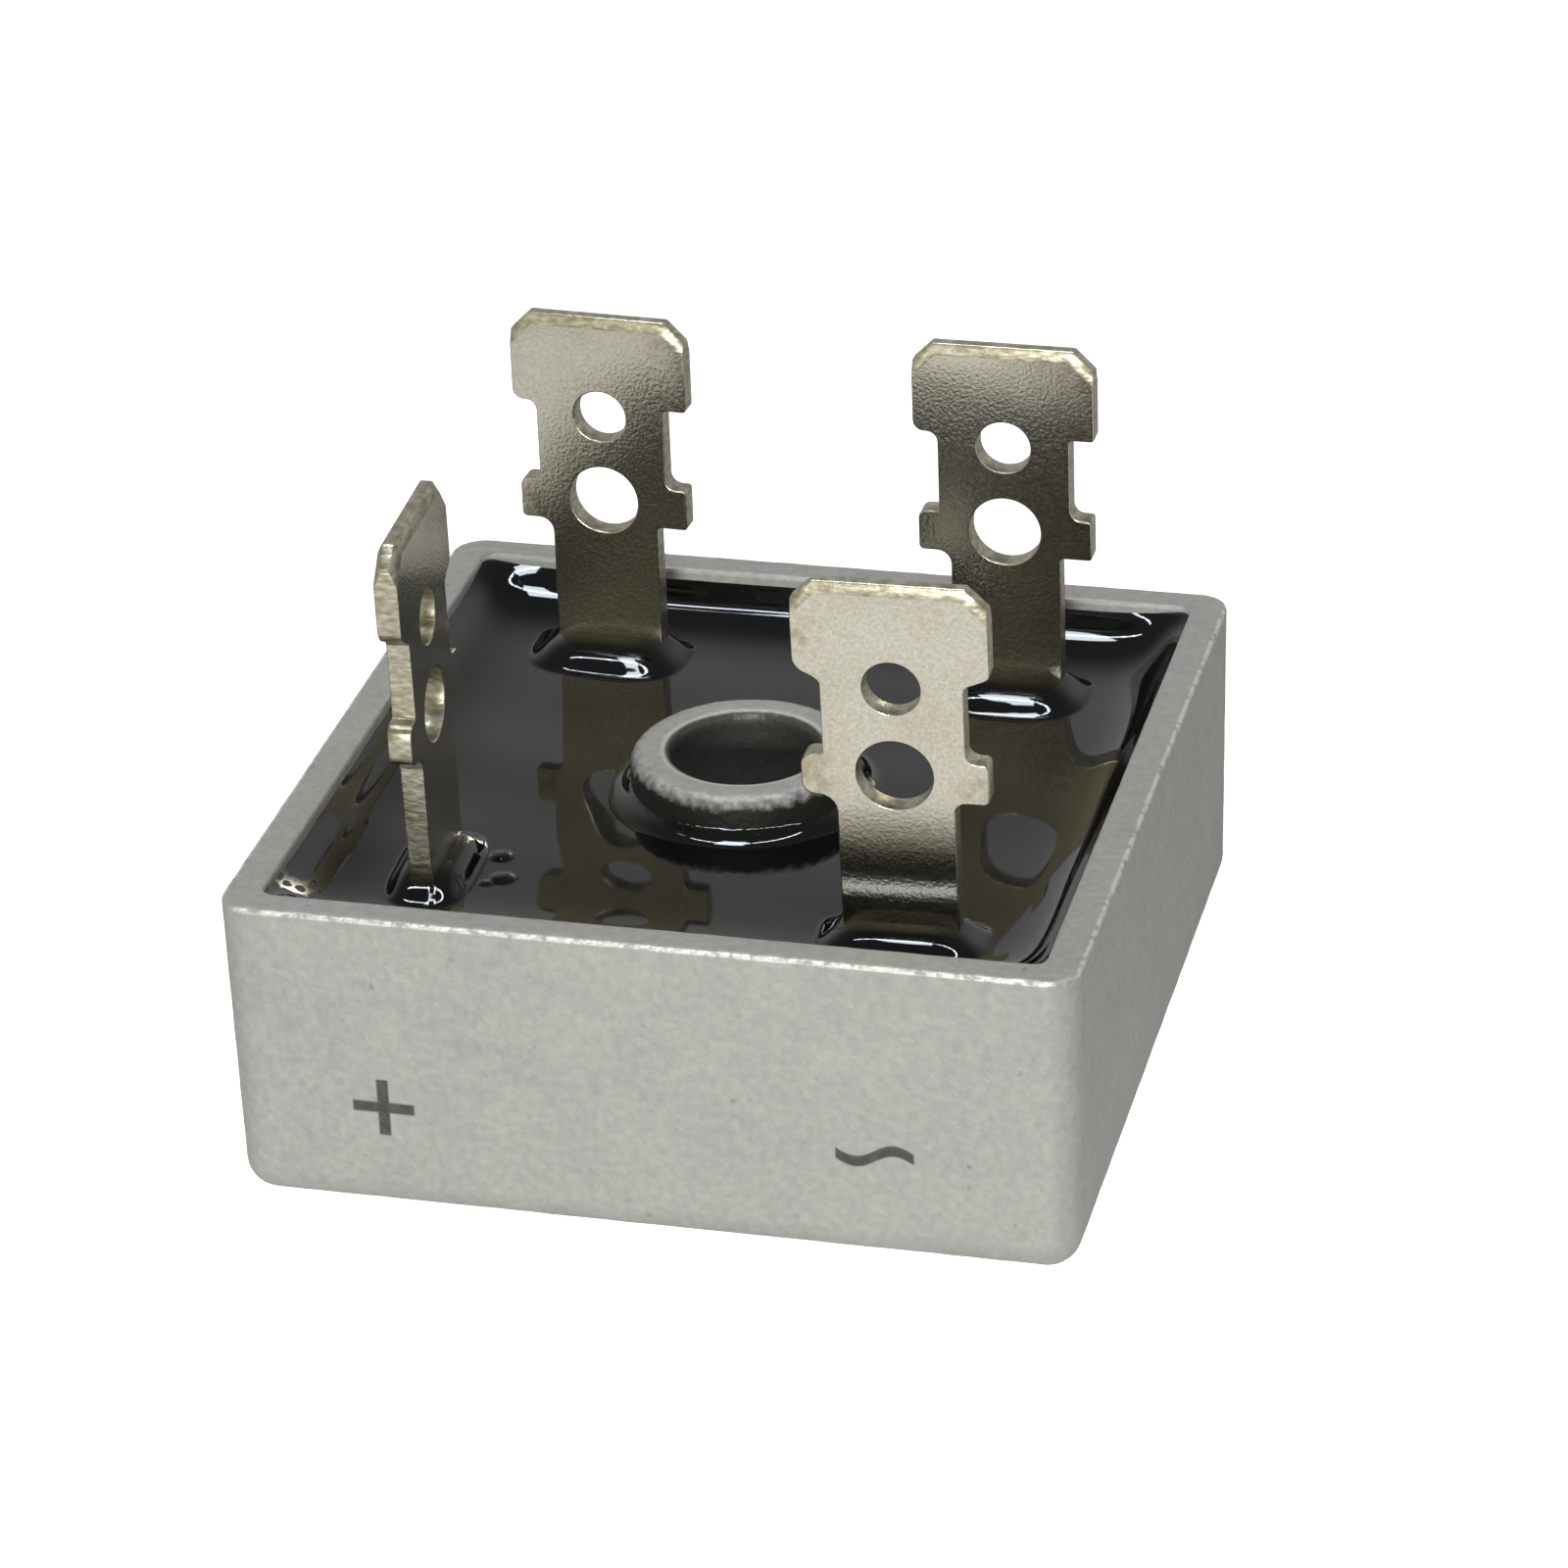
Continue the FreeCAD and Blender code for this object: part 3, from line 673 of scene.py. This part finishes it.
def castAluminium():
    # die-cast aluminium, bead blasted: a pale matte grey with a fine soft grain,
    # bright where the rim has been rubbed, and with a painted highlight along the rim's outer edge
    material, tree, shader, place = startMaterial("castAluminium")
    looks = castLooks
    spot = addNode(tree, "ShaderNodeVectorMath", {"operation": "SCALE", "Scale": 1000},
                   {0: place}).outputs[0]
    grain = addNode(tree, "ShaderNodeTexNoise", {"Scale": perMetre(looks["grain"]), "Detail": 3},
                    {"Vector": place}).outputs["Fac"]
    mottle = addNode(tree, "ShaderNodeTexNoise", {"Scale": perMetre(looks["mottle"]), "Detail": 4},
                     {"Vector": place}).outputs["Fac"]
    blend = addNode(tree, "ShaderNodeMath", {"operation": "MULTIPLY_ADD", 1: 0.45},
                    {0: mottle, 2: grain}).outputs[0]
    tone = addNode(tree, "ShaderNodeMapRange", {"From Min": 0.45, "From Max": 1.0},
                   {"Value": blend})
    # dark pits, sparse and about a third of a millimetre across
    pits = addNode(tree, "ShaderNodeTexNoise", {"Scale": perMetre(looks["pitSize"]), "Detail": 1},
                   {"Vector": place})
    pitted = addNode(tree, "ShaderNodeMapRange", {"From Min": 0.74, "From Max": 0.8,
                                                  "To Max": 0.5},
                     {"Value": pits.outputs["Fac"]}).outputs[0]

    # what the areas are measured by
    axes = addNode(tree, "ShaderNodeSeparateXYZ", None, {0: spot})
    flat = [addNode(tree, "ShaderNodeMath", {"operation": "ABSOLUTE"},
                    {0: axes.outputs[axis]}).outputs[0] for axis in ("X", "Y")]
    reach = addNode(tree, "ShaderNodeMath", {"operation": "MAXIMUM"}, {0: flat[0], 1: flat[1]})
    level = addNode(tree, "ShaderNodeCombineXYZ", None,
                    {"X": axes.outputs["X"], "Y": axes.outputs["Y"]})
    radius = addNode(tree, "ShaderNodeVectorMath", {"operation": "LENGTH"},
                     {0: level.outputs[0]})
    ragged = addNode(tree, "ShaderNodeMath", {"operation": "MULTIPLY_ADD", 1: 0.7},
                     {0: blend, 2: axes.outputs["Z"]})
    measures = {"reach": reach.outputs[0], "height": axes.outputs["Z"], "grain": grain,
                "radius": radius.outputs["Value"], "raggedHeight": ragged.outputs[0]}
    areas = {}
    for area, limits in castAreas.items():
        for measure, start, full, weak, strong in limits:
            mask = addNode(tree, "ShaderNodeMapRange", {
                "From Min": start, "From Max": full, "To Min": weak, "To Max": strong},
                {"Value": measures[measure]}).outputs[0]
            if area in areas:
                mask = addNode(tree, "ShaderNodeMath", {"operation": "MULTIPLY"},
                               {0: areas[area], 1: mask}).outputs[0]
            areas[area] = mask
    # rubbed wear, with a painted highlight along the rim's outer edge
    wornAndHighlight = addNode(tree, "ShaderNodeMath", {"operation": "MAXIMUM"},
                   {0: areas["rim"], 1: areas["mouth"]}).outputs[0]
    # the resin film on the boss's foot, and painted shade on the bore's wall
    filmAndShade = addNode(tree, "ShaderNodeMath", {"operation": "MAXIMUM"},
                   {0: areas["foot"], 1: areas["bore"]}).outputs[0]

    # dark grey print, thin enough for the grain to show through
    ink = None
    for mark in markFacts["marks"]:
        one = printedMark(tree, spot, mark)
        ink = one if ink is None else addNode(
            tree, "ShaderNodeMath", {"operation": "MAXIMUM"}, {0: ink, 1: one}).outputs[0]
    cover = addNode(tree, "ShaderNodeMapRange", {"From Min": 0.3, "From Max": 0.6,
                                                 "To Min": 0.86, "To Max": 0.97},
                    {"Value": grain})
    inked = addNode(tree, "ShaderNodeMath", {"operation": "MULTIPLY"},
                    {0: ink, 1: cover.outputs[0]}).outputs[0]

    colour = addNode(tree, "ShaderNodeMix", {
        "data_type": "RGBA", 6: linearColour(looks["darkShade"]),
        7: linearColour(looks["paleShade"])}, {0: tone.outputs[0]}).outputs[2]
    # the rubbed colour is also a painted highlight on the rim's edge
    for amount, look in ((pitted, "pit"), (wornAndHighlight, "rubbedAndHighlight"), (filmAndShade, "filmAndShade"), (inked, "print")):
        colour = addNode(tree, "ShaderNodeMix", {
            "data_type": "RGBA", 7: linearColour(looks[look])}, {0: amount, 6: colour}).outputs[2]
    tree.links.new(colour, shader.inputs["Base Color"])
    metal = addNode(tree, "ShaderNodeMapRange", {"To Min": 0.18, "To Max": 0.0},
                    {"Value": inked})
    tree.links.new(metal.outputs[0], shader.inputs["Metallic"])
    rough = addNode(tree, "ShaderNodeMapRange", {"To Min": 0.55, "To Max": 0.36},
                    {"Value": wornAndHighlight})
    tree.links.new(rough.outputs[0], shader.inputs["Roughness"])
    bump = addNode(tree, "ShaderNodeBump", {"Strength": 0.8, "Distance": 0.05 * mm},
                   {"Height": grain})
    tree.links.new(bump.outputs[0], shader.inputs["Normal"])
    return material


# where the plating has gone brown: the middle of each patch and its radius
tarnishPatches = (((4.75, -9.8, 15.4), 1.5), ((4.7, -10.1, 20.6), 1.1), ((10.3, -9.8, 15.3), 0.9),
                  ((-4.5, 9.2, 21.6), 1.0), ((10.0, 8.5, 21.9), 1.0), ((-9.9, 9.5, 14.9), 0.9),
                  ((-8.9, -10.4, 21.0), 1.2))


def brownPatches(tree, place, breakUp):
    # 1 in the middle of a patch, broken up by a noise, 0 well away from them all
    spot = addNode(tree, "ShaderNodeVectorMath", {"operation": "SCALE", "Scale": 1000},
                   {0: place}).outputs[0]
    total = None
    for middle, radius in tarnishPatches:
        apart = addNode(tree, "ShaderNodeVectorMath", {"operation": "DISTANCE", 1: middle},
                        {0: spot}).outputs["Value"]
        patch = addNode(tree, "ShaderNodeMapRange", {"From Min": radius, "From Max": 0},
                        {"Value": apart}).outputs[0]
        total = patch if total is None else addNode(
            tree, "ShaderNodeMath", {"operation": "MAXIMUM"}, {0: total, 1: patch}).outputs[0]
    broken = addNode(tree, "ShaderNodeMapRange", {"From Min": 0.4, "From Max": 0.62},
                     {"Value": breakUp})
    return addNode(tree, "ShaderNodeMath", {"operation": "MULTIPLY"},
                   {0: total, 1: broken.outputs[0]}).outputs[0]


def nickelPlate():
    # nickel over stamped brass strip: warm and satin, with a very fine orange peel
    # and a few brown tarnish patches
    material, tree, shader, place = startMaterial("nickelPlate")
    peel = addNode(tree, "ShaderNodeTexNoise", {"Scale": perMetre(0.12), "Detail": 2},
                   {"Vector": place}).outputs["Fac"]
    cloud = addNode(tree, "ShaderNodeTexNoise", {"Scale": perMetre(2.5), "Detail": 3},
                    {"Vector": place}).outputs["Fac"]
    speckle = addNode(tree, "ShaderNodeMath", {"operation": "MULTIPLY_ADD", 1: 0.5},
                      {0: cloud, 2: peel})
    speckle = addNode(tree, "ShaderNodeMapRange", {"From Min": 0.55, "From Max": 0.95},
                      {"Value": speckle.outputs[0]})
    colour = addNode(tree, "ShaderNodeMix", {"data_type": "RGBA", 6: linearColour("#BAB5A2"),
                                             7: linearColour("#D0CCBD")},
                     {0: speckle.outputs[0]})
    spots = addNode(tree, "ShaderNodeTexNoise", {"Scale": perMetre(0.5), "Detail": 3},
                    {"Vector": place})
    tarnish = addNode(tree, "ShaderNodeMath", {"operation": "MULTIPLY", 1: 0.78},
                      {0: brownPatches(tree, place, spots.outputs["Fac"])})
    colour = addNode(tree, "ShaderNodeMix", {"data_type": "RGBA", 7: linearColour("#8A744C")},
                     {0: tarnish.outputs[0], 6: colour.outputs[2]})
    tree.links.new(colour.outputs[2], shader.inputs["Base Color"])
    shader.inputs["Metallic"].default_value = 1
    rough = addNode(tree, "ShaderNodeMapRange", {"To Min": 0.13, "To Max": 0.24}, {"Value": peel})
    tree.links.new(rough.outputs[0], shader.inputs["Roughness"])
    bump = addNode(tree, "ShaderNodeBump", {"Strength": 0.8, "Distance": 0.01 * mm},
                   {"Height": peel})
    tree.links.new(bump.outputs[0], shader.inputs["Normal"])
    return material


def shearedEdge():
    # nickel over sheared brass: duller and browner than the faces, with lines that run
    # through the thickness
    material, tree, shader, place = startMaterial("shearedEdge")
    squash = addNode(tree, "ShaderNodeVectorMath", {"operation": "MULTIPLY", 1: (1, 1, 2.5)},
                     {0: place})
    lines = addNode(tree, "ShaderNodeTexNoise", {"Scale": perMetre(0.4), "Detail": 4},
                    {"Vector": squash.outputs[0]}).outputs["Fac"]
    blend = addNode(tree, "ShaderNodeMapRange", {"From Min": 0.35, "From Max": 0.65},
                    {"Value": lines})
    colour = addNode(tree, "ShaderNodeMix", {"data_type": "RGBA", 6: linearColour("#958E79"),
                                             7: linearColour("#C2BEAA")},
                     {0: blend.outputs[0]})
    tree.links.new(colour.outputs[2], shader.inputs["Base Color"])
    shader.inputs["Metallic"].default_value = 1
    shader.inputs["Roughness"].default_value = 0.38
    bump = addNode(tree, "ShaderNodeBump", {"Strength": 0.8, "Distance": 0.03 * mm},
                   {"Height": lines})
    tree.links.new(bump.outputs[0], shader.inputs["Normal"])
    return material


def blackEpoxy():
    # cast black epoxy: a glossy skin that mirrors the blades
    material, tree, shader, place = startMaterial("blackEpoxy")
    cloud = addNode(tree, "ShaderNodeTexNoise", {"Scale": perMetre(3), "Detail": 3},
                    {"Vector": place}).outputs["Fac"]
    colour = addNode(tree, "ShaderNodeMix", {"data_type": "RGBA", 6: linearColour("#08090B"),
                                             7: linearColour("#101113")}, {0: cloud})
    tree.links.new(colour.outputs[2], shader.inputs["Base Color"])
    shader.inputs["Roughness"].default_value = 0.04
    shader.inputs["IOR"].default_value = 1.5
    ripple = addNode(tree, "ShaderNodeTexNoise", {"Scale": perMetre(1.5), "Detail": 2},
                     {"Vector": place})
    bump = addNode(tree, "ShaderNodeBump", {"Strength": 0.15, "Distance": 0.01 * mm},
                   {"Height": ripple.outputs["Fac"]})
    tree.links.new(bump.outputs[0], shader.inputs["Normal"])
    return material


def plainMaterial(name, hexText, metallic, roughness):
    # one colour with a faint mottle, for what the resin hides
    material, tree, shader, place = startMaterial(name)
    grain = addNode(tree, "ShaderNodeTexNoise", {"Scale": perMetre(0.5), "Detail": 2},
                    {"Vector": place})
    dark = [channel * 0.85 for channel in linearColour(hexText)[:3]] + [1]
    colour = addNode(tree, "ShaderNodeMix", {"data_type": "RGBA", 6: dark,
                                             7: linearColour(hexText)},
                     {0: grain.outputs["Fac"]})
    tree.links.new(colour.outputs[2], shader.inputs["Base Color"])
    shader.inputs["Metallic"].default_value = metallic
    shader.inputs["Roughness"].default_value = roughness
    return material


useMaterial(castCase, castAluminium())
plate, sheared = nickelPlate(), shearedEdge()
for name, blade in blades.items():
    useMaterial(blade, plate, sheared)
    for index in shearedFaces[name]:
        blade.data.polygons[index].material_index = 1
useMaterial(resinPour, blackEpoxy())
# what lies under the resin keeps its CAD shape
hiddenLooks = {
    "alumina": plainMaterial("alumina", "#E6E5DE", 0, 0.6),
    "copper": plainMaterial("copper", "#B87350", 1, 0.35),
    "silicon": plainMaterial("silicon", "#484B55", 0.3, 0.25),
    "solder": plainMaterial("solder", "#A9AAAD", 1, 0.4),
}
for part in frame["record"]["subparts"]:
    if part["material_slot"] in hiddenLooks:
        for holder in frame["nodes"][part["node"]].material_slots:
            holder.material = hiddenLooks[part["material_slot"]]
print("materials set")


# Stage: a pale floor, a pale world that is dimmer overhead, and studio lamps
stageFacts = {
    "floorSize": 3000,
    "floorColour": "#C6C6C6",
    "floorGlow": 0.12,
    "floorLift": 0.9,         # added for the camera only, so that the backdrop stays white
    # the pool of light that metal mirrors on the floor in front
    "pool": {"middle": (8, -48, 0), "inner": 15, "outer": 75, "glow": 0.69},
    "key": {"at": (70, -650, 120), "size": 130, "power": 2.15},
    "overheadLamp": {"at": (0, -10, 420), "size": 300, "power": 0.55},
    # ceiling lights, faintly blue, that only glossy surfaces show
    "strip": {"at": (-45, -14, 400), "size": 126, "depth": 80, "power": 0.62},
    "row": {"count": 12, "middle": (20, -14, 400), "length": 380, "turn": 3, "size": 17,
            "depth": 42, "power": 0.055},
    "ceilingTint": (0.82, 0.91, 1.0),
    "ambient": 0.63,
    "horizon": 0.65,          # how bright the world is near the horizon and overhead
    "overhead": 0.185,
    "warmFront": (1.2, 1.15, 0.87),     # the room in front, as metal and resin mirror it
}


def seenRays(tree):
    # 1 for what the camera, metal and glass see, 0 for the light that falls on things
    path = addNode(tree, "ShaderNodeLightPath")
    seen = addNode(tree, "ShaderNodeMath", {"operation": "MAXIMUM"},
                   {0: path.outputs["Is Camera Ray"], 1: path.outputs["Is Glossy Ray"]})
    return addNode(tree, "ShaderNodeMath", {"operation": "MAXIMUM"},
                   {0: seen.outputs[0], 1: path.outputs["Is Transmission Ray"]}).outputs[0]


def addFloor():
    bpy.ops.object.select_all(action="DESELECT")
    bpy.ops.mesh.primitive_plane_add(size=stageFacts["floorSize"] * mm, location=(0, 0, 0))
    floor = bpy.context.object
    floor.name = "floor"
    material, tree, shader, place = startMaterial("paleFloor")
    shader.inputs["Base Color"].default_value = linearColour(stageFacts["floorColour"])
    shader.inputs["Roughness"].default_value = 0.9
    pool = stageFacts["pool"]
    apart = addNode(tree, "ShaderNodeVectorMath", {
        "operation": "DISTANCE", 1: Vector(pool["middle"]) * mm}, {0: place})
    glow = addNode(tree, "ShaderNodeMapRange", {
        "interpolation_type": "SMOOTHSTEP", "From Min": pool["inner"] * mm,
        "From Max": pool["outer"] * mm, "To Min": pool["glow"],
        "To Max": stageFacts["floorGlow"]}, {"Value": apart.outputs["Value"]})
    glow = addNode(tree, "ShaderNodeMath", {"operation": "MULTIPLY"},
                   {0: glow.outputs[0], 1: seenRays(tree)})
    path = addNode(tree, "ShaderNodeLightPath")
    glow = addNode(tree, "ShaderNodeMath", {"operation": "MULTIPLY_ADD",
                                            1: stageFacts["floorLift"]},
                   {0: path.outputs["Is Camera Ray"], 2: glow.outputs[0]})
    light = addNode(tree, "ShaderNodeEmission", None, {"Strength": glow.outputs[0]})
    both = addNode(tree, "ShaderNodeAddShader", None, {0: shader.outputs[0], 1: light.outputs[0]})
    tree.links.new(both.outputs[0], tree.nodes["Material Output"].inputs["Surface"])
    useMaterial(floor, material)


def addWorld():
    world = bpy.data.worlds.new("studio")
    bpy.context.scene.world = world
    world.use_nodes = True
    tree = world.node_tree
    axes = addNode(tree, "ShaderNodeSeparateXYZ", None,
                   {0: addNode(tree, "ShaderNodeTexCoord").outputs["Generated"]})
    dome = addNode(tree, "ShaderNodeMapRange", {
        "interpolation_type": "SMOOTHSTEP", "From Min": 0.3, "From Max": 0.8,
        "To Min": stageFacts["horizon"], "To Max": stageFacts["overhead"]},
        {"Value": axes.outputs["Z"]})
    seen = seenRays(tree)
    level = addNode(tree, "ShaderNodeMapRange", {"To Min": stageFacts["ambient"], "To Max": 1},
                    {"Value": seen})
    strength = addNode(tree, "ShaderNodeMath", {"operation": "MULTIPLY"},
                       {0: dome.outputs[0], 1: level.outputs[0]})
    # the camera itself sees plain white
    path = addNode(tree, "ShaderNodeLightPath")
    strength = addNode(tree, "ShaderNodeMath", {"operation": "MAXIMUM"},
                       {0: strength.outputs[0], 1: path.outputs["Is Camera Ray"]})
    tree.links.new(strength.outputs[0], tree.nodes["Background"].inputs["Strength"])
    front = addNode(tree, "ShaderNodeMapRange", {"From Min": -0.3, "From Max": -0.6},
                    {"Value": axes.outputs["Y"]})
    front = addNode(tree, "ShaderNodeMath", {"operation": "MULTIPLY"},
                    {0: front.outputs[0], 1: seen})
    colour = addNode(tree, "ShaderNodeMix", {
        "data_type": "RGBA", 6: (1, 1, 1, 1), 7: list(stageFacts["warmFront"]) + [1]},
        {0: front.outputs[0]})
    plain = addNode(tree, "ShaderNodeMix", {"data_type": "RGBA", 7: (1, 1, 1, 1)},
                    {0: path.outputs["Is Camera Ray"], 6: colour.outputs[2]})
    tree.links.new(plain.outputs[2], tree.nodes["Background"].inputs["Color"])


def addLamp(name, at, size, power, depth=None, hidden=None, tint=(1, 1, 1)):
    place = Vector(at) * mm
    bpy.ops.object.light_add(type="AREA", location=place)
    lamp = bpy.context.object
    lamp.name = name
    lamp.data.energy = power
    lamp.data.color = tint
    lamp.data.shape = "RECTANGLE"
    lamp.data.size = size * mm
    lamp.data.size_y = (depth or size) * mm
    lamp.rotation_euler = (-place).to_track_quat("-Z", "Y").to_euler()
    if hidden:
        setattr(lamp, hidden, False)      # "visible_diffuse" or "visible_glossy"


def addLamps():
    addLamp("keyLamp", **stageFacts["key"])
    addLamp("overheadLamp", hidden="visible_glossy", **stageFacts["overheadLamp"])
    addLamp("stripLamp", hidden="visible_diffuse", tint=stageFacts["ceilingTint"],
            **stageFacts["strip"])
    row = stageFacts["row"]
    for number in range(row["count"]):
        # small lamps in a row, which curved resin shows as strings of dots
        step = (number / (row["count"] - 1) - 0.5) * row["length"]
        x, y, z = row["middle"]
        turn = math.radians(row["turn"])
        addLamp("rowLamp%d" % number,
                (x + step * math.cos(turn), y + step * math.sin(turn), z), row["size"],
                row["power"], row["depth"], "visible_diffuse", stageFacts["ceilingTint"])


addFloor()
addWorld()
addLamps()
bpy.context.scene.view_settings.view_transform = "Standard"
print("stage set")
